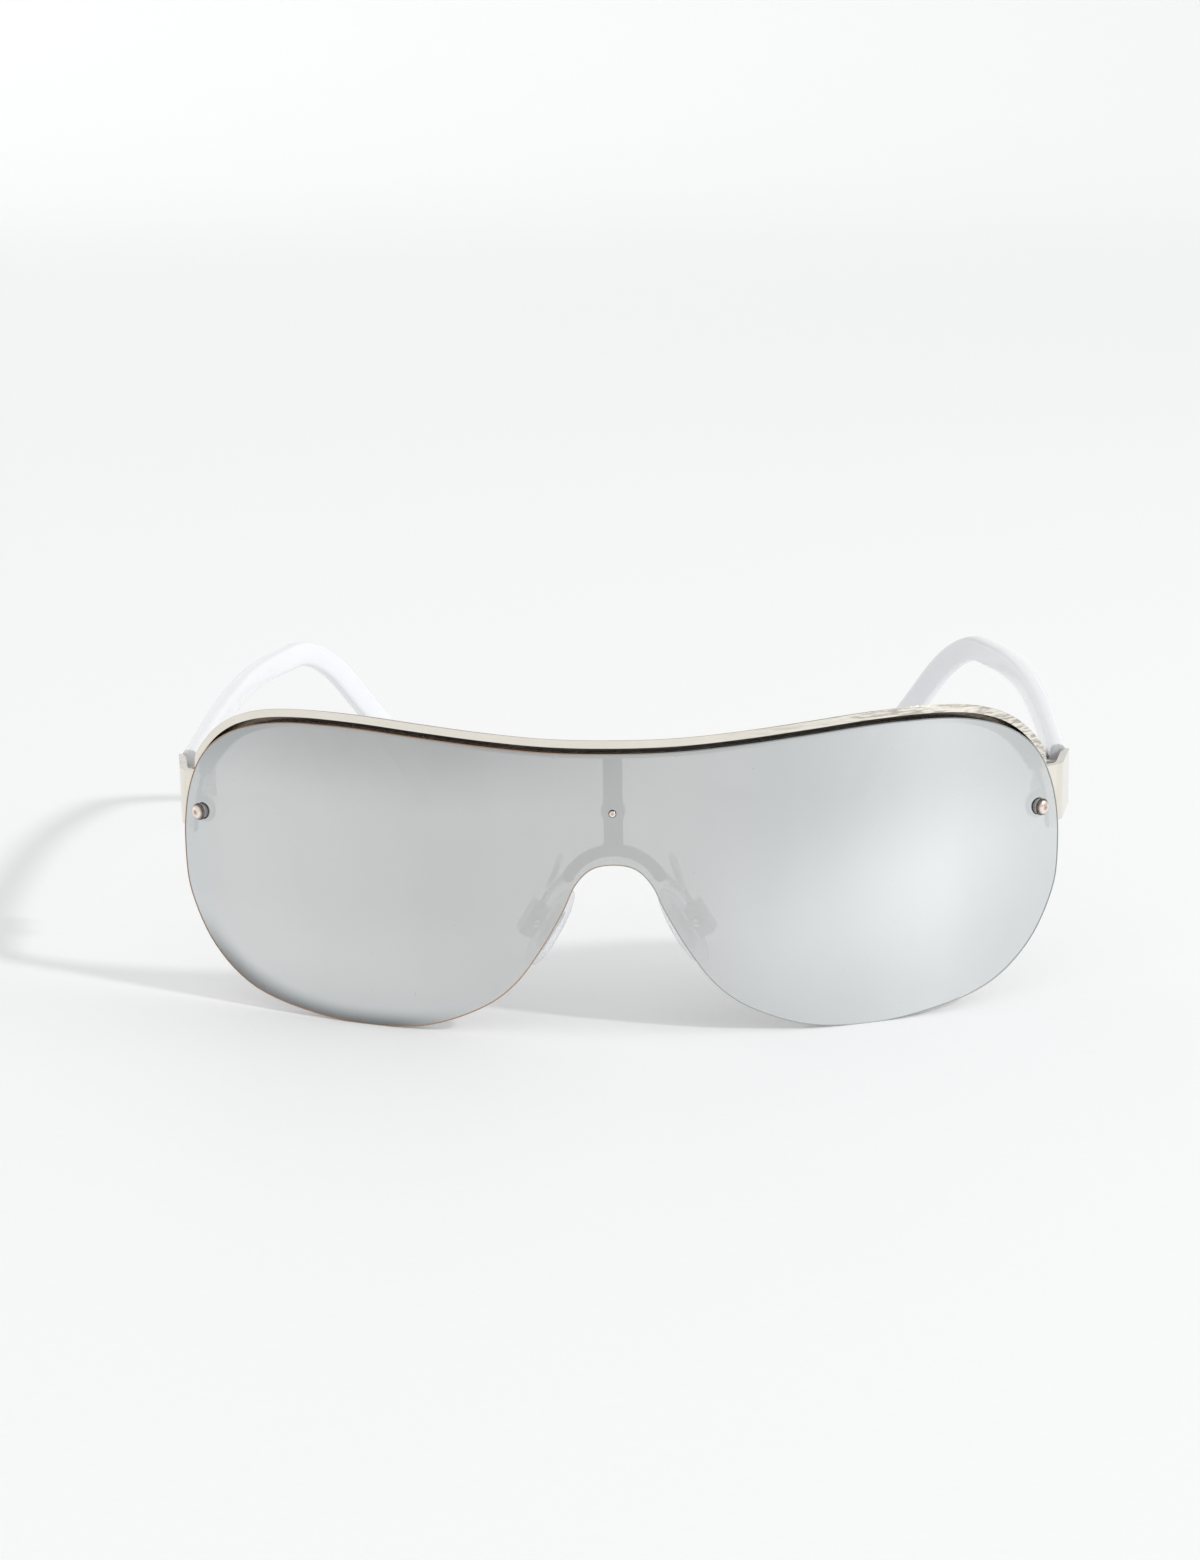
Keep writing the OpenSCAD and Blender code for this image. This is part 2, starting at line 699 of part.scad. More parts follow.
module pad_body(t, w, l) {
    skin([for (i = [0 : len(pad_levels) - 1])
        oval(-pad_off + t / 2 - pad_levels[i] * t, w * pad_level_shares[i], l * pad_level_shares[i])], 0);
}

module core_plate(grow) {
    translate([-pad_off - core_t / 2 - grow, -pad_w / 4 - grow, -pad_len / 4 - grow])
        cube([core_t + 2 * grow, pad_w / 2 + 2 * grow, pad_len / 2 + 2 * grow]);
}

module core_neck(grow) {
    translate([-pad_off, -tongue_t / 2 - grow, -tongue_r - grow])
        cube([pad_off, tongue_t + 2 * grow, 2 * tongue_r + 2 * grow]);
}

module pad_core(side) {
    color([0.93, 0.95, 0.97, 0.7])
        place(side)
            at_pad()
                difference() {
                    union() {
                        core_plate(0);
                        core_neck(0);
                        translate([0, -tongue_t / 2, 0])
                            rotate([-90, 0, 0])
                                cylinder(h = tongue_t, r = tongue_r);
                    }
                    translate([0, -tongue_t, 0])
                        rotate([-90, 0, 0])
                            cylinder(h = 2 * tongue_t, r = pad_screw_r + fit_gap);
                }
}

module nose_pad(side) {
    color([0.85, 0.9, 0.97, 0.5])
        place(side)
            at_pad()
                difference() {
                    pad_body(pad_t, pad_w, pad_len);
                    core_plate(fit_gap);
                    core_neck(fit_gap);
                }
}

// Wire from the arch's foot to the top of the pad box, in two bends
wire_sides = 10;
wire_steps = 5;
function turn_y(v, a) = [v[0] * cos(a) + v[2] * sin(a), v[1], v[2] * cos(a) - v[0] * sin(a)];
function turn_z(v, a) = [v[0] * cos(a) - v[1] * sin(a), v[0] * sin(a) + v[1] * cos(a), v[2]];
function pad_point(v) = [pad_x, pad_y, pad_z] + turn_y(turn_z(v, -pad_splay), -pad_lean);
// Rows: shares of wire_side, of wire_reach, of wire_dip and of wire_rise
wire_shares = [
    [0.15, 0.12, 0.08, 0], [0.45, 0.2, 0.42, 0], [0.86, 0.3, 0.86, 0],
    [1, 0.47, 0.88, 0], [0.74, 0.66, 0.36, 0], [0.54, 0.84, 0, 0.4],
    [0.5, 1, 0, 1], [0.6, 1.14, 0, 0.2], [0.84, 1.04, 0.75, 0]
];
wire_start = [foot[0], bridge_y + strut_t + seat_gap, foot[1]];
wire_end = pad_point([(box_deep - tongue_r) / 2, 0, box_h / 2 + seat_gap]);
wire_lead = pad_point([(box_deep - tongue_r) / 2, 0, box_h / 2 + 2 * wire_d]);
wire_points = concat(
    [wire_start - [0, wire_d, 0], wire_start],
    [for (s = wire_shares)
        wire_start + [s[0] * wire_side, s[1] * wire_reach, s[3] * wire_rise - s[2] * wire_dip]],
    [wire_lead, wire_end, 2 * wire_end - wire_lead]
);
wire_curve = curve(wire_points, wire_steps);
function wire_ring(i) =
    let (
        n = len(wire_curve) - 1,
        way = i == 0 ? [0, 1, 0]
            : i == n ? unit(wire_end - wire_lead) : unit(wire_curve[i + 1] - wire_curve[i - 1]),
        out = unit(cross(way, [1, 0, 0])), up = cross(out, way)
    )
    [for (k = [0 : wire_sides - 1])
        let (q = k * 360 / wire_sides)
        wire_curve[i] + wire_d / 2 * (cos(q) * out + sin(q) * up)];

module pad_arm(side) {
    color([0.86, 0.82, 0.74])
        place(side)
            skin([for (i = [0 : len(wire_curve) - 1]) wire_ring(i)], 0);
}

shield_lens();
brow_bar();
bridge();
endpiece(1);  // endpiece_left
endpiece(-1);  // endpiece_right
lens_screw(1);  // lens_screw_left
lens_screw(-1);  // lens_screw_right
lens_bushing(1);  // lens_bushing_left
lens_bushing(-1);  // lens_bushing_right
centre_screw();
front_hinge(1);  // front_hinge_left
front_hinge(-1);  // front_hinge_right
hinge_screw(1);  // hinge_screw_left
hinge_screw(-1);  // hinge_screw_right
pad_arm(1);  // pad_arm_left
pad_arm(-1);  // pad_arm_right
pad_box(1);  // pad_box_left
pad_box(-1);  // pad_box_right
pad_screw(1);  // pad_screw_left
pad_screw(-1);  // pad_screw_right
pad_core(1);  // pad_core_left
pad_core(-1);  // pad_core_right
nose_pad(1);  // nose_pad_left
nose_pad(-1);  // nose_pad_right
temple_hinge(1);  // temple_hinge_left
temple_hinge(-1);  // temple_hinge_right
temple_rivets(1);  // temple_rivets_left
temple_rivets(-1);  // temple_rivets_right
temple(1);  // temple_left
temple(-1);  // temple_right
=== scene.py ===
# %% [markdown]
# Shield sunglasses.
# A mirrored shield lens hangs from a thin metal brow bar, white temples fold on small steel
# hinges, and two silicone pads hold the nose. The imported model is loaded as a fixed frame.
# Each step below takes one piece of it and gives it the form and finish of the real thing.

# %% Load the frame
import json
import math
import bpy
from mathutils import Matrix, Vector


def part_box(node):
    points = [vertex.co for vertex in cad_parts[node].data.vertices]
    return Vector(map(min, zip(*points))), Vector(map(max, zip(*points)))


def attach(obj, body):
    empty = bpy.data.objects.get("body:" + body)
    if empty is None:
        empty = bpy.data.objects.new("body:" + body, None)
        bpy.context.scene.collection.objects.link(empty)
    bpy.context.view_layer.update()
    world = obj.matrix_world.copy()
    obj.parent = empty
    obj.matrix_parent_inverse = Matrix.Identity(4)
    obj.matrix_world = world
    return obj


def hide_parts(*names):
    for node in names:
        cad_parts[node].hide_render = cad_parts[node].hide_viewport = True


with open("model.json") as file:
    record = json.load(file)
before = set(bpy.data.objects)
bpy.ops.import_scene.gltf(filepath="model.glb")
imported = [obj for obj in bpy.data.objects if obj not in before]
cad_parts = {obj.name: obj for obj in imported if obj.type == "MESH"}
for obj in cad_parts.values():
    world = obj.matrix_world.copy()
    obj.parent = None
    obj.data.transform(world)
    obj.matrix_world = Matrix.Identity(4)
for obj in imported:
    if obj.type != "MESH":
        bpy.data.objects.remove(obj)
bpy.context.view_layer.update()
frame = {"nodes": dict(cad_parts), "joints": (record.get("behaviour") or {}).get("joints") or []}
MM = 0.001

# %% [markdown]
# Selecting is half of modelling. An operator works on whatever is selected, and loading the
# frame leaves every piece selected, so a small helper clears the selection and picks one
# object.

# %% Helper for selecting


def pick_only(thing):
    bpy.ops.object.select_all(action="DESELECT")
    thing.select_set(True)
    bpy.context.view_layer.objects.active = thing


bpy.ops.object.select_all(action="DESELECT")
print("nothing is selected:", not bpy.context.selected_objects)

# %% [markdown]
# The camera stands half a metre in front of the lens and a little to the wearer's left. It
# looks down by twelve and a half degrees. Its place was found by laying the frame's outline
# over the photograph, and a camera is turned by three plain angles.

# %% Camera
CAMERA_PLACE = Vector((17.01, -519.46, 138.06)) * MM
LOOK_DOWN, LOOK_SIDE, TILT = math.radians(12.5), math.radians(2.47), math.radians(-0.88)
SENSOR_WIDTH, FOCAL_LENGTH, NEAR_END = 36, 67.52, 0.01
camera_data = bpy.data.cameras.new("camera")
camera_data.sensor_width = SENSOR_WIDTH
camera_data.lens = FOCAL_LENGTH
camera_data.clip_start = NEAR_END
camera = bpy.data.objects.new("camera", camera_data)
bpy.context.scene.collection.objects.link(camera)
camera.matrix_world = (
    Matrix.Translation(CAMERA_PLACE)
    @ Matrix.Rotation(LOOK_SIDE, 4, "Z")
    @ Matrix.Rotation(math.pi / 2 - LOOK_DOWN, 4, "X")
    @ Matrix.Rotation(TILT, 4, "Z")
)
bpy.context.scene.camera = camera
print("camera looks along", [round(v, 3) for v in camera.matrix_world.col[2].xyz * -1])

# %% [markdown]
# A studio sweep is a pale floor that curves up into a wall, so that no horizon shows. Here it
# is a wide round tray. A disc is added, and its rim is extruded outwards and upwards in short
# steps, which a smooth shading turns into one soft curve.

# %% Floor
TRAY_SIDES, TRAY_FLAT, TRAY_CURVE, TRAY_STEPS = 96, 4.0, 1.2, 8
bpy.ops.mesh.primitive_circle_add(vertices=TRAY_SIDES, radius=TRAY_FLAT, fill_type="NGON")
floor = bpy.context.object
floor.name = "studio_floor"
bpy.ops.object.mode_set(mode="EDIT")
bpy.ops.mesh.select_mode(type="EDGE")
bpy.ops.mesh.select_all(action="SELECT")
bpy.ops.mesh.region_to_loop()
radius, height = TRAY_FLAT, 0.0
for step in range(1, TRAY_STEPS + 1):
    turn = step / TRAY_STEPS * math.pi / 2
    new_radius = TRAY_FLAT + TRAY_CURVE * math.sin(turn)
    new_height = TRAY_CURVE * (1 - math.cos(turn))
    bpy.ops.mesh.extrude_edges_move(TRANSFORM_OT_translate={"value": (0, 0, new_height - height)})
    bpy.ops.transform.resize(
        value=(new_radius / radius, new_radius / radius, 1), center_override=(0, 0, new_height)
    )
    radius, height = new_radius, new_height
bpy.ops.mesh.select_all(action="SELECT")
bpy.ops.mesh.normals_make_consistent(inside=True)
bpy.ops.object.mode_set(mode="OBJECT")
bpy.ops.object.shade_smooth_by_angle(angle=math.radians(30))
print("floor tray in m:", [round(v, 2) for v in floor.dimensions])

# %% [markdown]
# A finish is a small net of nodes. Sums between nodes read best as sums, so one class wraps
# the output of a node and adds a Math node for every operator used on it. A second class
# holds one material and adds any other node from its type, its settings and its links.

# %% Shader helpers


class Value:
    def __init__(self, finish, socket):
        self.finish, self.socket = finish, socket

    def math(self, kind, first, second):
        return self.finish.add("ShaderNodeMath", {"operation": kind}, {0: first, 1: second})

    def __add__(self, other):
        return self.math("ADD", self, other)

    def __sub__(self, other):
        return self.math("SUBTRACT", self, other)

    def __rsub__(self, other):
        return self.math("SUBTRACT", other, self)

    def __mul__(self, other):
        return self.math("MULTIPLY", self, other)

    def __truediv__(self, other):
        return self.math("DIVIDE", self, other)

    def __pow__(self, other):
        return self.math("POWER", self, other)

    def __abs__(self):
        return self.finish.add("ShaderNodeMath", {"operation": "ABSOLUTE"}, {0: self})


class Finish:
    def __init__(self, name):
        self.material = bpy.data.materials.new(name)
        self.material.use_nodes = True
        self.tree = self.material.node_tree
        self.shader = self.tree.nodes["Principled BSDF"]

    def add(self, kind, settings=None, links=None, out=0):
        node = self.tree.nodes.new(kind)
        for name, value in (settings or {}).items():
            setattr(node, name, value)
        for socket, value in (links or {}).items():
            self.join(value, node.inputs[socket])
        return Value(self, node.outputs[out])

    def join(self, value, socket):
        if isinstance(value, Value):
            self.tree.links.new(value.socket, socket)
        else:
            socket.default_value = value

    def set(self, **sockets):
        for name, value in sockets.items():
            self.join(value, self.shader.inputs[name.replace("_", " ")])

    def place(self, scale=(1, 1, 1)):
        """The piece's own coordinates in millimetres, stretched by scale."""
        where = self.add("ShaderNodeTexCoord", out="Object")
        return self.add(
            "ShaderNodeMapping", {}, {"Vector": where, "Scale": [v / MM for v in scale]}
        )

    def along(self, letter):
        """How far a point lies along X, Y or Z, in millimetres."""
        return self.add(
            "ShaderNodeSeparateXYZ", {}, {"Vector": self.place()}, out="XYZ".index(letter)
        )

    def up(self):
        """How far the surface faces up: 1 on a top, 0 on a wall, -1 on an underside."""
        facing = self.add("ShaderNodeNewGeometry", out="Normal")
        return self.add("ShaderNodeSeparateXYZ", {}, {"Vector": facing}, out=2)

    def open_sky(self, distance):
        """1 where nothing is near, and less in corners and gaps up to distance millimetres."""
        return self.add(
            "ShaderNodeAmbientOcclusion", {"samples": 8}, {"Distance": distance * MM}, out=1
        )

    def noise(self, size, detail=2, scale=(1, 1, 1)):
        """Noise from 0 to 1 whose lumps are about size millimetres wide."""
        return self.add(
            "ShaderNodeTexNoise",
            {},
            {"Vector": self.place(scale), "Scale": 1 / size, "Detail": detail},
        )

    def between(self, share, low, high):
        """A colour that goes from low to high as share goes from 0 to 1."""
        mix = self.tree.nodes.new("ShaderNodeMix")
        mix.data_type = "RGBA"
        for socket, value in ((0, share), (6, low), (7, high)):
            self.join(value, mix.inputs[socket])
        return Value(self, mix.outputs[2])

    def step(self, value, low, high):
        """0 below low, 1 above high, and a smooth ramp between them."""
        return self.add(
            "ShaderNodeMapRange",
            {"interpolation_type": "SMOOTHSTEP"},
            {"Value": value, "From Min": low, "From Max": high},
        )

    def bump(self, height, strength, depth):
        """Lets height, from 0 to 1, stand depth millimetres proud."""
        normal = self.add(
            "ShaderNodeBump", {}, {"Height": height, "Strength": strength, "Distance": depth * MM}
        )
        self.set(Normal=normal)


print("shader helpers are ready")

# %% [markdown]
# Every piece of the frame has its true place and size, but its edges are knife sharp and its
# mesh is loose triangles. A real edge is always a little round and catches a line of light.
# So a copy of the node is merged, its flat triangles are joined into whole faces, its edges
# are bevelled, and weighted normals keep the flats flat. The copy then stands for the node.

# %% Helpers that trim the edges of a copied node
MERGE_WITHIN, FLAT_WITHIN, SHARPER_THAN = 0.001 * MM, math.radians(0.5), 40
SIDES = {"left": 1, "right": -1}


def merged_copy(node, name):
    """A copy of a CAD node as one closed mesh in an object of its own."""
    piece = bpy.data.objects.new(name, frame["nodes"][node].data.copy())
    bpy.context.scene.collection.objects.link(piece)
    piece.data.materials.clear()
    pick_only(piece)
    bpy.ops.object.mode_set(mode="EDIT")
    bpy.ops.mesh.select_all(action="SELECT")
    bpy.ops.mesh.remove_doubles(threshold=MERGE_WITHIN)
    bpy.ops.object.mode_set(mode="OBJECT")
    return piece


def apply_modifier(piece, kind, **settings):
    pick_only(piece)
    modifier = piece.modifiers.new(kind.lower(), kind)
    for name, value in settings.items():
        setattr(modifier, name, value)
    bpy.ops.object.modifier_apply(modifier=modifier.name)


def smooth(piece, angle=SHARPER_THAN):
    """Smooths all edges that are flatter than the angle, and keeps the flats flat."""
    pick_only(piece)
    bpy.ops.object.shade_smooth_by_angle(angle=math.radians(angle))
    apply_modifier(piece, "WEIGHTED_NORMAL", keep_sharp=True, weight=60)


def join_flats(piece):
    """Joins the triangles that lie in one plane."""
    pick_only(piece)
    bpy.ops.object.mode_set(mode="EDIT")
    bpy.ops.mesh.select_all(action="SELECT")
    bpy.ops.mesh.dissolve_limited(angle_limit=FLAT_WITHIN)
    bpy.ops.object.mode_set(mode="OBJECT")


def face_outwards(piece):
    pick_only(piece)
    bpy.ops.object.mode_set(mode="EDIT")
    bpy.ops.mesh.select_all(action="SELECT")
    bpy.ops.mesh.normals_make_consistent(inside=False)
    bpy.ops.object.mode_set(mode="OBJECT")


def trim_edges(piece, width):
    """Joins flat faces, bevels every sharp edge by width millimetres and smooths the rest."""
    join_flats(piece)
    apply_modifier(
        piece,
        "BEVEL",
        width=width * MM,
        segments=2,
        limit_method="ANGLE",
        angle_limit=math.radians(SHARPER_THAN),
    )
    smooth(piece)


def hand_over(piece, body, slot, *nodes):
    """The finished piece rides on its body and stands for its CAD nodes."""
    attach(piece, body)
    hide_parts(*nodes)
    print(piece.name, len(piece.data.polygons), "faces, rides on", body)


def dress(piece, finish, body, slot, node):
    """Gives the piece its one finish and hands it over."""
    piece.data.materials.append(finish.material)
    hand_over(piece, body, slot, node)


print("edge helpers are ready")

# %% [markdown]
# The lens is a strip of a cylinder, 1.8 mm thick. A mirror shows every flat facet, and the
# copied mesh has only a few long triangles. So it is sliced by upright planes through the
# cylinder's axis, one for each degree, and every corner is moved onto the true radius.

# %% Lens shape
LENS_RADIUS, LENS_THICK = 110 * MM, 1.8 * MM
HALF_SWEEP, ON_FACE_WITHIN, LEVEL = 40, 0.1 * MM, Vector((1, 1, 0))
front_of_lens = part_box("shield_lens")[0].y
axis = Vector((0, front_of_lens + LENS_RADIUS, 0))
lens = merged_copy("shield_lens", "shield_lens_mirror")
bpy.ops.object.mode_set(mode="EDIT")
for degree in range(-HALF_SWEEP, HALF_SWEEP + 1):
    turn = math.radians(degree)
    bpy.ops.mesh.select_all(action="SELECT")
    bpy.ops.mesh.bisect(plane_co=axis, plane_no=(math.cos(turn), math.sin(turn), 0))
bpy.ops.object.mode_set(mode="OBJECT")
for corner in lens.data.vertices:
    out = (corner.co - axis) * LEVEL
    for radius in (LENS_RADIUS, LENS_RADIUS - LENS_THICK):
        if abs(out.length - radius) < ON_FACE_WITHIN:
            corner.co.xy = axis.xy + out.xy.normalized() * radius
print("lens has", len(lens.data.polygons), "faces after slicing")

# %% [markdown]
# The coating ends at the rim in a thin brownish line. The line is the outline of the front face:
# a copy of the lens keeps nothing but that outline, which is made into a curve, given a round
# section and made into a mesh again. The outlines of the screw holes are dropped.

# %% Line on the lens rim
LINE_RADIUS, ON_CURVE = 0.1 * MM, 0.999


def outwards(face):
    """1 where a face of the lens looks out along the radius and -1 where it looks in."""
    return face.normal.dot(((face.center - axis) * LEVEL).normalized())


smooth(lens, 30)
lens_faces = len(lens.data.polygons)
bpy.ops.object.duplicate()
line = bpy.context.object
bpy.ops.object.mode_set(mode="EDIT")
bpy.ops.mesh.select_mode(type="FACE")
bpy.ops.mesh.select_all(action="DESELECT")
bpy.ops.object.mode_set(mode="OBJECT")
for face in line.data.polygons:
    face.select = outwards(face) > ON_CURVE
bpy.ops.object.mode_set(mode="EDIT")
bpy.ops.mesh.region_to_loop()
bpy.ops.mesh.select_mode(type="EDGE")
bpy.ops.mesh.select_all(action="INVERT")
bpy.ops.mesh.delete(type="EDGE")
bpy.ops.object.mode_set(mode="OBJECT")
bpy.ops.object.convert(target="CURVE")
line = bpy.context.object
loops = sorted(line.data.splines, key=lambda loop: len(loop.points))
for hole in loops[:-1]:
    line.data.splines.remove(hole)
line.data.bevel_depth, line.data.bevel_resolution = LINE_RADIUS, 1
bpy.ops.object.convert(target="MESH")
line = bpy.context.object
for corner in line.data.vertices:
    corner.co.y, corner.co.z = max(corner.co.y, front_of_lens), max(corner.co.z, 0)
print("the rim line has", len(line.data.polygons), "faces")

# %% [markdown]
# The lens has three finishes: the coating on its front, the line and plain plastic elsewhere.
# A mirror shows the smallest error in its normals, so those of both faces are set along the
# radius.

# %% Three finishes of the lens
line.select_set(True)
lens.select_set(True)
bpy.context.view_layer.objects.active = lens
bpy.ops.object.join()
mirror, rim, plastic = Finish("mirror_coating"), Finish("lens_rim"), Finish("lens_plastic")
lens.data.materials.clear()
for finish in (mirror, rim, plastic):
    lens.data.materials.append(finish.material)
normals = [corner.vector.copy() for corner in lens.data.corner_normals]
for face in lens.data.polygons:
    side = outwards(face)
    on_line = face.index >= lens_faces
    face.material_index = 1 if on_line else 0 if side > ON_CURVE else 2
    if not on_line and abs(side) > ON_CURVE:
        for corner in face.loop_indices:
            spot = lens.data.vertices[lens.data.loops[corner].vertex_index].co
            normals[corner] = ((spot - axis) * LEVEL).normalized() * side
lens.data.normals_split_custom_set([normal.normalized() for normal in normals])
coated = sum(face.area for face in lens.data.polygons if face.material_index == 0)
print("coated area is", round(coated / MM**2), "square mm")
hand_over(lens, "front", "lens", "shield_lens")

# %% [markdown]
# A silver flash coating is a thin layer of metal that lets a little light through, so the
# metal and the pads behind show as ghosts. It is built as a metal with part alpha, and it is
# denser in the middle of the lobes, where the temples behind hardly show. How much it reflects
# is painted to differ over the lens, in place of the light and shade it mirrors. Painted shade
# darkens the top and the upper part of the wearer's left lobe, a broad painted bright streak
# runs up over that lobe, and painted brighter reflections lie over both lobes and low on the
# other one. Close to the lower edge of the other lobe a painted dark reflection darkens it, and
# towards the rims it turns a little blue. All places are in mm: x from the middle, z up from the
# floor.

# %% Mirror coating
PLAIN_SHINE, LEFT_GAIN, OUTER_GAIN, STREAK_GAIN, LOW_GAIN = 0.585, 0.11, 0.06, 0.08, 0.07
TOP_LOSS, HIGH_LEFT_LOSS, DARK_LOSS = 0.15, 0.06, 0.72
LOBE_X, LOBE_Z, LOBE_HALF_WIDTH, LOBE_HALF_HEIGHT, SQUARENESS = -38, 26, 33, 26, 2.5
THIN_ALPHA, DENSE_ALPHA = 0.85, 0.95
x, z = mirror.along("X"), mirror.along("Z")
across = abs(z * 0.95 - x * 0.305 - 5.7)
# What follows paints reflected light and shade into the coating's brightness: a bright streak,
# shade on the top and the upper left, a brighter low zone, and a dark reflection of the shadow
# along a lower edge.
painted_bright_streak = (1 - mirror.step(across, 0, 18)) * mirror.step(x, 4, 24)
painted_bright_streak = painted_bright_streak * (1 - mirror.step(x, 50, 70) * 0.6)
painted_shade_high_left = mirror.step(z, 24, 42) * mirror.step(x, 5, 30)
painted_shade_top = mirror.step(z, 34, 48) * (1 - mirror.step(x, -30, 20))
low_right = (1 - mirror.step(z, 6, 16)) * (1 - mirror.step(x, -36, -20))
low = (1 - mirror.step(z, 5, 22)) * (1 - mirror.step(x, -20, 20))
lobe = abs((x - LOBE_X) / LOBE_HALF_WIDTH) ** SQUARENESS
lobe = lobe + abs((z - LOBE_Z) / LOBE_HALF_HEIGHT) ** SQUARENESS
painted_dark_reflection = mirror.step(lobe, 0.72, 1.02) * low_right
shine_with_painted_light = mirror.step(x, 0, 45) * LEFT_GAIN + (1 - mirror.step(x, -60, -20)) * OUTER_GAIN
shine_with_painted_light = shine_with_painted_light + painted_bright_streak * STREAK_GAIN + low * LOW_GAIN + PLAIN_SHINE
shine_with_painted_light = (shine_with_painted_light - painted_shade_top * TOP_LOSS - painted_shade_high_left * HIGH_LEFT_LOSS) * (1 - painted_dark_reflection * DARK_LOSS)
haze = mirror.noise(9, detail=3, scale=(1, 1, 0.5))
dust = mirror.step(mirror.noise(0.35, detail=1), 0.74, 0.78)
rub = mirror.step(mirror.noise(1.5, detail=2, scale=(0.1, 0.1, 1)), 0.66, 0.7)
near_rim = mirror.step(lobe, 0.5, 1) * (1 - mirror.step(x, -22, -10))
bluish = near_rim + mirror.step(x, 0, 30) * 0.6
tint = mirror.between(bluish, (0.99, 1, 0.998, 1), (0.955, 1, 1.02, 1))
beside = abs(x)
dense = mirror.step(beside, 17, 26) * (1 - mirror.step(beside, 50, 58))
mirror.set(
    Base_Color=mirror.between(shine_with_painted_light + haze * 0.04 - dust * 0.03 - 0.02, (0, 0, 0, 1), tint),
    Metallic=1,
    Roughness=haze * 0.05 + dust * 0.2 + rub * 0.04 + 0.05,
    Alpha=dense * (DENSE_ALPHA - THIN_ALPHA) + THIN_ALPHA,
)
print("the coating has", len(mirror.tree.nodes), "nodes")

# %% [markdown]
# The line is orange brown at the wearer's right and greyer at the left. The plain plastic is
# smoky and mostly clear, because the coating in front of it does the darkening.

# %% Rim line and plain plastic of the lens
fleck = rim.noise(1.5, detail=2)
rim.set(
    Base_Color=rim.between(
        rim.step(rim.along("X"), -20, 20) * 0.8 + fleck * 0.2,
        (0.42, 0.23, 0.12, 1),
        (0.3, 0.36, 0.36, 1),
    ),
    Roughness=fleck * 0.1 + 0.3,
    IOR=1.3,
)
cloud = plastic.noise(12, detail=2)
plastic.set(
    Base_Color=plastic.between(cloud, (0.3, 0.28, 0.27, 1), (0.36, 0.34, 0.33, 1)),
    Roughness=cloud * 0.06 + 0.06,
    IOR=1.59,
    Alpha=0.3,
)
print("rim and plastic are set")

# %% [markdown]
# The bar, the bridge and the end pieces are nickel alloy strip, plated in pale champagne
# gold. The plating is smooth, with fine scratches that run every way and a slightly rougher
# bloom where fingers open the temples.

# %% Champagne gold


def plated(name, line, streaks, corners):
    """Pale gold. Line paints shade that darkens tops and undersides, and streaks the wearer's left
    end.

    Corners says between which shares of open sky a gap goes from black to plain gold, as painted
    shade.
    """
    gold = Finish(name)
    bloom = gold.noise(4, detail=3)
    scratch = gold.step(gold.noise(0.5, detail=2, scale=(0.12, 0.12, 1)), 0.58, 0.7)
    brushed = gold.step(gold.noise(0.3, detail=3, scale=(0.07, 0.2, 1)), 0.44, 0.62)
    brushed = brushed * gold.step(gold.along("X"), 12, 45) * streaks
    up = gold.up()
    top, under = gold.step(up, 0.25, 0.7), 1 - gold.step(up, -0.85, -0.3)
    # Painted shade darkens tops, undersides and gaps here, and the brushed streaks darken the
    # metal's own grain.
    light = (1 - top * line) * (1 - under * line) * (1 - brushed)
    light = light * gold.step(gold.open_sky(3), *corners)
    warm = gold.between(bloom, (0.77, 0.735, 0.655, 1), (0.86, 0.825, 0.75, 1))
    gold.set(
        Base_Color=gold.between(light, (0.08, 0.06, 0.045, 1), warm),
        Metallic=1,
        Roughness=bloom * 0.1 + scratch * 0.1 + brushed * 0.2 + 0.14,
    )
    gold.bump(scratch + brushed, 0.3, 0.01)
    return gold


gold = plated("champagne_gold", 0.15, 0, (0, 0.7))
bar_gold = plated("brushed_champagne_gold", 0.92, 0.45, (0.2, 0.85))
print("gold is set")

# %% [markdown]
# The small turned parts are a warmer, redder gold. A painted dark ring round their edge and a
# painted darker, redder middle inside a painted bright ring stand in for what a dome reflects,
# and both follow an attribute that the turned parts carry: how far a point is from the middle.
# The hinges are stamped steel.

# %% Screw and hinge metal
copper = Finish("rose_screw_metal")
smudge_and_painted_shade = copper.noise(0.4, detail=2)
from_middle = copper.add("ShaderNodeAttribute", {"attribute_name": "from_middle"}, out=2)
# Painted reflection and shade: the middle is painted darker and redder, a ring further out
# brighter, and the rim dark, varied by a smudge noise that also roughens the metal.
painted_dome_tone = copper.between(
    copper.step(from_middle, 0.1, 0.45), (0.5, 0.34, 0.27, 1), (0.9, 0.8, 0.72, 1)
)
painted_dark_rim = copper.step(from_middle, 0.62, 0.9) * (smudge_and_painted_shade * 0.3 + 0.75)
copper.set(
    Base_Color=copper.between(painted_dark_rim, painted_dome_tone, (0.07, 0.05, 0.045, 1)),
    Metallic=1,
    Roughness=smudge_and_painted_shade * 0.12 + 0.1,
)


def stamped(name, dark, light):
    """Sheet metal with a fine grain, and painted shade that darkens its corners."""
    metal = Finish(name)
    grain = metal.noise(0.25, detail=3, scale=(1, 1, 0.2))
    metal.set(
        Base_Color=metal.between(grain * 0.3 + metal.open_sky(2) * 0.7, dark, light),
        Metallic=1,
        Roughness=grain * 0.15 + 0.22,
    )
    metal.bump(grain, 0.25, 0.01)
    return metal


steel = stamped("stamped_steel", (0.22, 0.21, 0.2, 1), (0.74, 0.72, 0.67, 1))
box_metal = stamped("pad_box_metal", (0.08, 0.08, 0.08, 1), (0.4, 0.39, 0.37, 1))
print("screw and hinge metal are set")
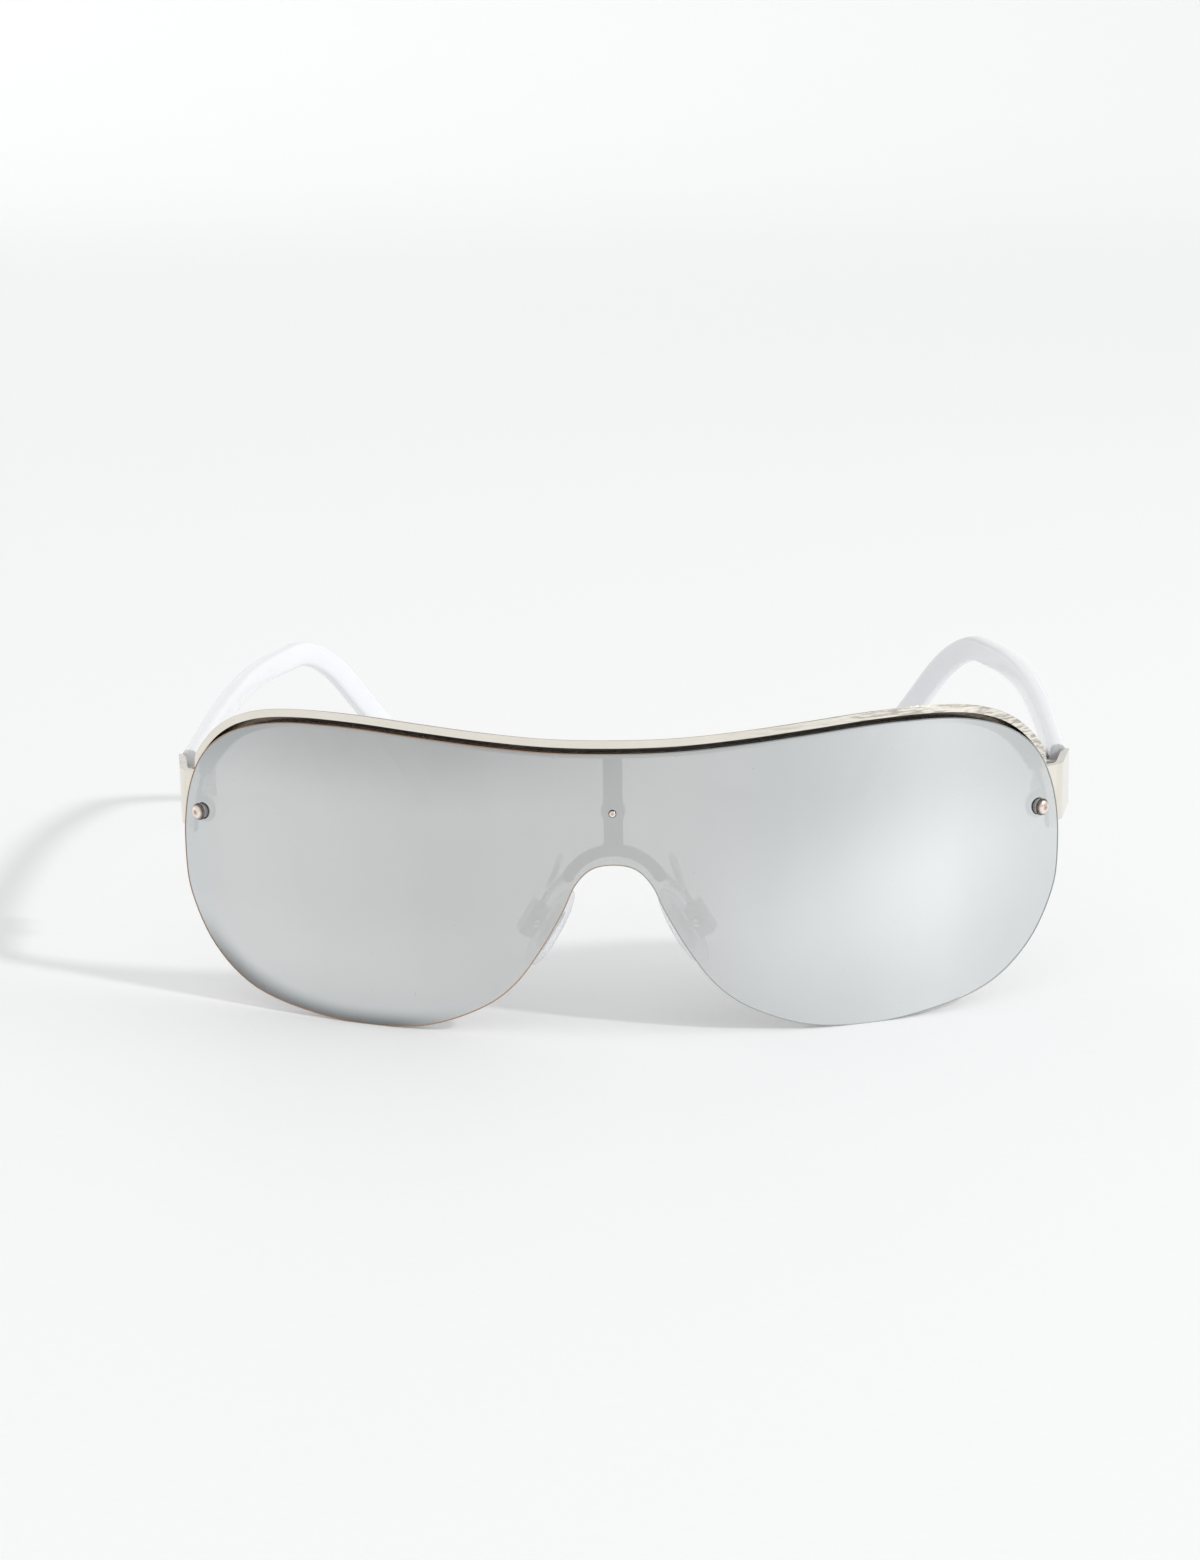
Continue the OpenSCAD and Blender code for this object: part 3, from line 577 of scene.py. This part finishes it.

# %% [markdown]
# The temples are injection moulded in glossy white. Gloss plastic is never quite flat: it has a
# faint ripple from the mould. Painted shade greys the white where other parts come near.

# %% White plastic and clear silicone
white = Finish("white_gloss_plastic")
ripple = white.noise(6, detail=2)
white.set(
    # Painted shade in corners and gaps, mixed with the ripple's own tone.
    Base_Color=white.between(
        ripple * 0.3 + white.open_sky(4) * 0.7, (0.62, 0.64, 0.67, 1), (0.84, 0.85, 0.87, 1)
    ),
    Roughness=ripple * 0.08 + 0.16,
    IOR=1.49,
    Coat_Weight=0.3,
)
white.bump(ripple, 0.1, 0.05)
silicone = Finish("clear_silicone")
# Painted reflection: the outline, where the surface turns away from the view, is painted
# blue-grey, and the same facing makes it more opaque.
edge = silicone.add("ShaderNodeLayerWeight", {}, {"Blend": 0.35}, out=1)
cloud = silicone.noise(2, detail=2)
silicone.set(
    Base_Color=silicone.between(
        silicone.step(edge, 0.55, 0.95), (0.93, 0.96, 1, 1), (0.42, 0.5, 0.66, 1)
    ),
    Roughness=cloud * 0.1 + 0.12,
    IOR=1.41,
    Alpha=silicone.step(edge, 0.4, 1) * 0.6 + 0.2,
)
nylon = Finish("clear_nylon")
speck = nylon.noise(0.5, detail=1)
nylon.set(
    Base_Color=nylon.between(speck, (0.82, 0.85, 0.88, 1), (0.9, 0.92, 0.94, 1)),
    Roughness=speck * 0.1 + 0.2,
    IOR=1.53,
    Alpha=0.6,
)
print("plastics are set")

# %% [markdown]
# The bar and the bridge are cut from strip and only need their edges trimmed. The pad arms are
# drawn wire, already round.

# %% Bar, bridge and pad arms
for node, finish in (("brow_bar", bar_gold), ("bridge", gold)):
    strip = merged_copy(node, node + "_gold")
    trim_edges(strip, 0.2)
    dress(strip, finish, "front", "gold_metal", node)
for side in SIDES:
    wire = merged_copy("pad_arm_" + side, f"pad_arm_{side}_wire")
    apply_modifier(wire, "SUBSURF", levels=1, render_levels=1)
    smooth(wire, 60)
    dress(wire, gold, "front", "gold_metal", "pad_arm_" + side)

# %% [markdown]
# An end piece is one strip, folded at the lens's corner, and a folded strip has a round bend.
# So the corner is cut out: one copy keeps the plate behind the lens and another the side wall.
# Between them a face as large as the strip's section is spun about the middle of the bend.
# The two cuts lie REACH away from the corner, so the bend meets both without a step. All edges
# then get a fine bevel, and the open ends, which meet inside the strip, are closed.

# %% End pieces with a round fold
CORNER = Vector((72, -53.5, 0))
PLATE_TURN, WALL_TURN, REACH = math.radians(41.7), math.radians(78.5), 1.225
STRIP_THICK, STRIP_BOTTOM, STRIP_TOP, BEND_STEPS = 1.2, 27.73, 36.99, 10
UPRIGHT = Vector((0, 0, 1))


def cut_away(piece, spot, way):
    """Removes what lies beyond the plane through spot, in mm, on the side of way."""
    join_flats(piece)
    bpy.ops.object.mode_set(mode="EDIT")
    bpy.ops.mesh.select_all(action="SELECT")
    bpy.ops.mesh.bisect(plane_co=spot * MM, plane_no=way, clear_outer=True)
    bpy.ops.object.mode_set(mode="OBJECT")


def bend(start, along, out, turn):
    """The open bend that begins at start on the strip's outer face and turns by turn."""
    bpy.ops.mesh.primitive_plane_add(size=1)
    piece = bpy.context.object
    tall = UPRIGHT * (STRIP_TOP - STRIP_BOTTOM)
    section = Matrix((out * STRIP_THICK, tall, along)).transposed().to_4x4()
    section.translation = start - out * STRIP_THICK / 2 + UPRIGHT * (STRIP_BOTTOM + STRIP_TOP) / 2
    piece.data.transform(Matrix.Scale(MM, 4) @ section)
    bpy.ops.object.mode_set(mode="EDIT")
    bpy.ops.mesh.select_all(action="SELECT")
    bpy.ops.mesh.delete(type="ONLY_FACE")
    bpy.ops.mesh.select_all(action="SELECT")
    pivot = start - out * REACH / math.tan(abs(turn) / 2)
    bpy.ops.mesh.spin(steps=BEND_STEPS, angle=turn, center=pivot * MM, axis=UPRIGHT)
    bpy.ops.object.mode_set(mode="OBJECT")
    return piece


for side, sign in SIDES.items():
    mirrored = Vector((sign, 1, 1))
    along_plate = Vector((math.cos(PLATE_TURN), math.sin(PLATE_TURN), 0)) * mirrored
    along_wall = Vector((math.cos(WALL_TURN), math.sin(WALL_TURN), 0)) * mirrored
    out_of_plate = Vector((math.sin(PLATE_TURN), -math.cos(PLATE_TURN), 0)) * mirrored
    strip = merged_copy("endpiece_" + side, f"endpiece_{side}_fold")
    wall = merged_copy("endpiece_" + side, "side_wall")
    start = CORNER * mirrored - along_plate * REACH
    end = CORNER * mirrored + along_wall * REACH
    cut_away(strip, start, along_plate)
    cut_away(wall, end, -along_wall)
    curve = bend(start, along_plate, out_of_plate, sign * (PLATE_TURN - WALL_TURN))
    miss = min((v.co / MM - end).xy.length for v in curve.data.vertices)
    print(f"the bend of the {side} end piece misses the wall by {miss:.3f} mm")
    bpy.ops.object.select_all(action="DESELECT")
    for piece in (wall, curve, strip):
        piece.select_set(True)
    bpy.context.view_layer.objects.active = strip
    bpy.ops.object.join()
    trim_edges(strip, 0.15)
    bpy.ops.object.mode_set(mode="EDIT")
    bpy.ops.mesh.select_all(action="SELECT")
    bpy.ops.mesh.fill_holes(sides=0)
    bpy.ops.object.mode_set(mode="OBJECT")
    face_outwards(strip)
    smooth(strip)
    dress(strip, gold, "front", "gold_metal", "endpiece_" + side)

# %% [markdown]
# The screws are turned parts, and here they are made the same way: a disc is pushed along its
# axis in steps, and its radius changes at each step as the cutter would change it. The heads
# of the hinge and pad screws are slotted with a thin box.

# %% Helpers for turned parts
TURNED_SIDES, TURNED_ANGLE = 40, 35
SLOT_LONG, SLOT_WIDE, SLOT_DEEP = 3, 0.3, 0.3


def turned(name, profile, place):
    """Pushes a disc along Z through rows of radius and height in mm, and then places it."""
    (radius, height), rest = profile[0], profile[1:]
    bpy.ops.mesh.primitive_circle_add(vertices=TURNED_SIDES, radius=radius * MM, fill_type="NGON")
    piece = bpy.context.object
    piece.name = name
    bpy.ops.object.mode_set(mode="EDIT")
    bpy.ops.mesh.select_mode(type="FACE")
    bpy.ops.mesh.select_all(action="SELECT")
    bpy.ops.transform.translate(value=(0, 0, height * MM))
    for new_radius, new_height in rest:
        rise, grow = (new_height - height) * MM, new_radius / radius
        bpy.ops.mesh.extrude_region_move(TRANSFORM_OT_translate={"value": (0, 0, rise)})
        bpy.ops.transform.resize(
            value=(grow, grow, 1), center_override=(0, 0, new_height * MM)
        )
        radius, height = new_radius, new_height
    bpy.ops.object.mode_set(mode="OBJECT")
    face_outwards(piece)
    widest = max(row[0] for row in profile) * MM
    share = piece.data.attributes.new("from_middle", "FLOAT", "POINT")
    for corner, value in zip(piece.data.vertices, share.data):
        value.value = corner.co.xy.length / widest
    piece.data.transform(place)
    return piece


def slotted(piece, place, top):
    """Cuts a screwdriver slot into the head whose top is that high, in mm."""
    bpy.ops.mesh.primitive_cube_add(size=1)
    cutter = bpy.context.object
    box = Matrix.Diagonal((SLOT_LONG * MM, SLOT_WIDE * MM, 2 * SLOT_DEEP * MM, 1))
    cutter.data.transform(place @ Matrix.Translation((0, 0, top * MM)) @ box)
    apply_modifier(piece, "BOOLEAN", object=cutter, operation="DIFFERENCE")
    bpy.data.objects.remove(cutter)


def facing(place, towards):
    """A matrix that stands local Z along the direction, at that place in mm."""
    turn = Vector(towards).to_track_quat("Z", "Y").to_matrix().to_4x4()
    return Matrix.Translation(Vector(place) * MM) @ turn


print("helpers for turned parts are ready")

# %% [markdown]
# The lens screws have a domed head, with the shank running through the bushing into the lug.
# The screw in the middle is a small one of the same kind.

# %% Screws through the lens
SCREW_X, SCREW_Z, MIDDLE_SCREW_Z = 67.8, 31.208, 35.837
DOME = [
    (0.1, 1.28), (0.35, 1.26), (0.62, 1.2), (0.86, 1.1), (1.08, 0.95), (1.25, 0.76), (1.35, 0.58),
    (1.4, 0.42), (1.36, 0.38), (0.7, 0.38), (0.7, -2.9), (0.6, -3.04),
]
SMALL_DOME = [
    (0.1, 0.49), (0.3, 0.46), (0.46, 0.38), (0.56, 0.27), (0.62, 0.14), (0.62, 0.06), (0.45, 0.04),
    (0.45, -3.6), (0.38, -3.74),
]
for side, sign in SIDES.items():
    turn = math.asin(SCREW_X * MM / LENS_RADIUS)
    out = Vector((sign * math.sin(turn), -math.cos(turn), 0))
    spot = axis / MM + out * LENS_RADIUS / MM
    cap = turned(f"lens_screw_{side}_dome", DOME, facing((spot.x, spot.y, SCREW_Z), out))
    smooth(cap, TURNED_ANGLE)
    dress(cap, copper, "front", "dome_metal", "lens_screw_" + side)
spot = (0, front_of_lens / MM, MIDDLE_SCREW_Z)
pin = turned("centre_screw_dome", SMALL_DOME, facing(spot, (0, -1, 0)))
smooth(pin, TURNED_ANGLE)
dress(pin, copper, "front", "dome_metal", "centre_screw")

# %% [markdown]
# Each hinge turns on a screw with a slotted cheese head. The joint in the frame says where its
# axis is.

# %% Hinge screws
HINGE_HEAD = [
    (0.9, 3.18), (1.06, 3.1), (1.12, 2.96), (1.12, 2.72), (0.6, 2.7), (0.6, -2.5), (0.5, -2.6),
]
joints = {joint["name"]: joint for joint in frame["joints"]}
for side in SIDES:
    spot = [v / MM for v in joints["temple_fold_" + side]["pos_m"]]
    place = facing(spot, (0, 0, 1))
    screw = turned(f"hinge_screw_{side}_slotted", HINGE_HEAD, place)
    slotted(screw, place, HINGE_HEAD[0][1])
    smooth(screw, TURNED_ANGLE)
    dress(screw, copper, "front", "dome_metal", "hinge_screw_" + side)

# %% [markdown]
# The rest of the small parts are stamped or moulded. A bevel of a tenth of a millimetre is
# enough for them.

# %% Hinges, rivets, pad boxes, cores and bushings
for side in SIDES:
    arm, pad = "temple_arm_" + side, "pad_" + side
    for part, finish, slot, body, width in (
        ("front_hinge", steel, "hinge_metal", "front", 0.12),
        ("pad_box", box_metal, "hinge_metal", "front", 0.25),
        ("temple_hinge", steel, "hinge_metal", arm, 0.12),
        ("temple_rivets", copper, "dome_metal", arm, 0.08),
        ("lens_bushing", nylon, "nylon", "front", 0.05),
        ("pad_core", nylon, "pad_plastic", pad, 0.15),
    ):
        piece = merged_copy(f"{part}_{side}", f"{part}_{side}_trim")
        trim_edges(piece, width)
        dress(piece, finish, body, slot, f"{part}_{side}")

# %% [markdown]
# A nose pad is a soft egg-shaped cushion of clear silicone, fuller towards the nose, with a
# recess at the back where the core's neck goes in. It is pushed like a turned part, stretched
# to its oval, and drawn in a little towards its upper end. Its place comes from the joint: the
# joint's axis is the pad's own Y, and the slope of that axis gives the pad's lean.

# %% Nose pads and their screws
PAD_HALF_WIDTH, PAD_HALF_LENGTH, PAD_OUT = 3.75, 7, 2.976
PAD_STEPS = [
    (0.3, -0.8), (0.34, -1.12), (0.4, -1.2), (0.7, -1.2), (0.86, -1.08), (0.95, -0.8),
    (0.99, -0.4), (1, 0), (0.97, 0.4), (0.9, 0.72), (0.78, 0.96), (0.6, 1.1), (0.35, 1.18),
    (0.1, 1.2),
]
PAD_TAPER = 0.12
PAD_SCREW = [
    (0.6, 2.09), (0.8, 2.02), (0.89, 1.9), (0.89, 1.7), (0.5, 1.69), (0.5, -1.55), (0.42, -1.64),
]
for side, sign in SIDES.items():
    joint = joints["pad_rock_" + side]
    width_way = Vector(joint["axis"]).normalized()
    lean = math.atan2(width_way.z, width_way.x * sign)
    length_way = Vector((-sign * math.sin(lean), 0, math.cos(lean)))
    nose_way = width_way.cross(length_way) * -sign
    own_axes = Matrix((width_way, length_way, nose_way)).transposed().to_4x4()
    place = Matrix.Translation(joint["pos_m"]) @ own_axes
    oval = Matrix.Diagonal((PAD_HALF_WIDTH, PAD_HALF_LENGTH, 1, 1))
    cushion = turned(f"nose_pad_{side}_silicone", PAD_STEPS, oval)
    for corner in cushion.data.vertices:
        corner.co.x *= 1 - PAD_TAPER * corner.co.y / (PAD_HALF_LENGTH * MM)
    cushion.data.transform(place @ Matrix.Translation((0, 0, PAD_OUT * MM)))
    face_outwards(cushion)
    smooth(cushion, 60)
    dress(cushion, silicone, "pad_" + side, "pad_silicone", "nose_pad_" + side)
    head = facing(Vector(joint["pos_m"]) / MM, -width_way)
    screw = turned(f"pad_screw_{side}_slotted", PAD_SCREW, head)
    slotted(screw, head, PAD_SCREW[0][1])
    smooth(screw, TURNED_ANGLE)
    dress(screw, copper, "front", "dome_metal", "pad_screw_" + side)

# %% [markdown]
# A temple comes out of its mould without a single hard line along it. Its copy is turned into
# quads and subdivided once. Only the rims of its two ends are creased, so they stay crisp.

# %% Temples
PLANE_WITHIN, ANY_SHAPE = math.radians(0.2), math.pi
CREASED_FROM, BEVELLED_FROM = math.radians(62), math.radians(55)
for side in SIDES:
    arm = merged_copy("temple_" + side, f"temple_{side}_moulded")
    bpy.ops.object.mode_set(mode="EDIT")
    bpy.ops.mesh.select_all(action="SELECT")
    bpy.ops.mesh.dissolve_limited(angle_limit=PLANE_WITHIN)
    bpy.ops.mesh.tris_convert_to_quads(face_threshold=ANY_SHAPE, shape_threshold=ANY_SHAPE)
    bpy.ops.mesh.select_mode(type="EDGE")
    bpy.ops.mesh.select_all(action="DESELECT")
    bpy.ops.mesh.edges_select_sharp(sharpness=CREASED_FROM)
    bpy.ops.transform.edge_crease(value=0.9)
    bpy.ops.object.mode_set(mode="OBJECT")
    apply_modifier(arm, "SUBSURF", levels=1, render_levels=1)
    apply_modifier(
        arm, "BEVEL", width=0.2 * MM, segments=2, limit_method="ANGLE", angle_limit=BEVELLED_FROM
    )
    smooth(arm, 50)
    dress(arm, white, "temple_arm_" + side, "white_plastic", "temple_" + side)

# %% [markdown]
# The light. The shadows in the photograph run far to the left and a little back, so the key
# stands at the right front, a third of the way up. It is a sun with a small disc, because a
# sun lights the whole floor alike. A wide panel at the right makes that side a little
# brighter, and a pale world fills the shadows. The plain view transform keeps white white.

# %% Lights


def look_from(azimuth, height):
    """The direction towards a light: azimuth from the camera's side towards the right."""
    a, h = math.radians(azimuth), math.radians(height)
    return Vector((math.sin(a) * math.cos(h), -math.cos(a) * math.cos(h), math.sin(h)))


def lamp(name, kind, strength, towards, distance, **settings):
    """A light that stands in that direction from the lens and looks at it."""
    light = bpy.data.lights.new(name, kind)
    light.energy = strength
    for setting, value in settings.items():
        setattr(light, setting, value)
    thing = bpy.data.objects.new(name, light)
    bpy.context.scene.collection.objects.link(thing)
    turn = (-towards).to_track_quat("-Z", "Y").to_matrix().to_4x4()
    thing.matrix_world = Matrix.Translation(towards * distance) @ turn
    print(name, "stands towards", [round(v, 2) for v in towards])


lamp("key_sun", "SUN", 1.15, look_from(60, 34), 2, angle=math.radians(4.5))
lamp("side_panel", "AREA", 1.5, look_from(80, 40), 1.2, shape="DISK", size=0.6)
world = bpy.data.worlds.new("studio")
bpy.context.scene.world = world
world.use_nodes = True
sky = world.node_tree.nodes["Background"]
sky.inputs["Color"].default_value = (0.99, 0.995, 1, 1)
sky.inputs["Strength"].default_value = 0.785
bpy.context.scene.view_settings.view_transform = "Standard"

# %% [markdown]
# The floor is matt white paper, with a grain too fine to see as anything but softness.

# %% Floor finish
ground = Finish("pale_floor")
fibre = ground.noise(1.5, detail=4)
ground.set(
    Base_Color=ground.between(fibre, (0.9, 0.9, 0.9, 1), (0.92, 0.92, 0.92, 1)),
    Roughness=0.6,
)
floor.data.materials.append(ground.material)
print("lights and floor are set")
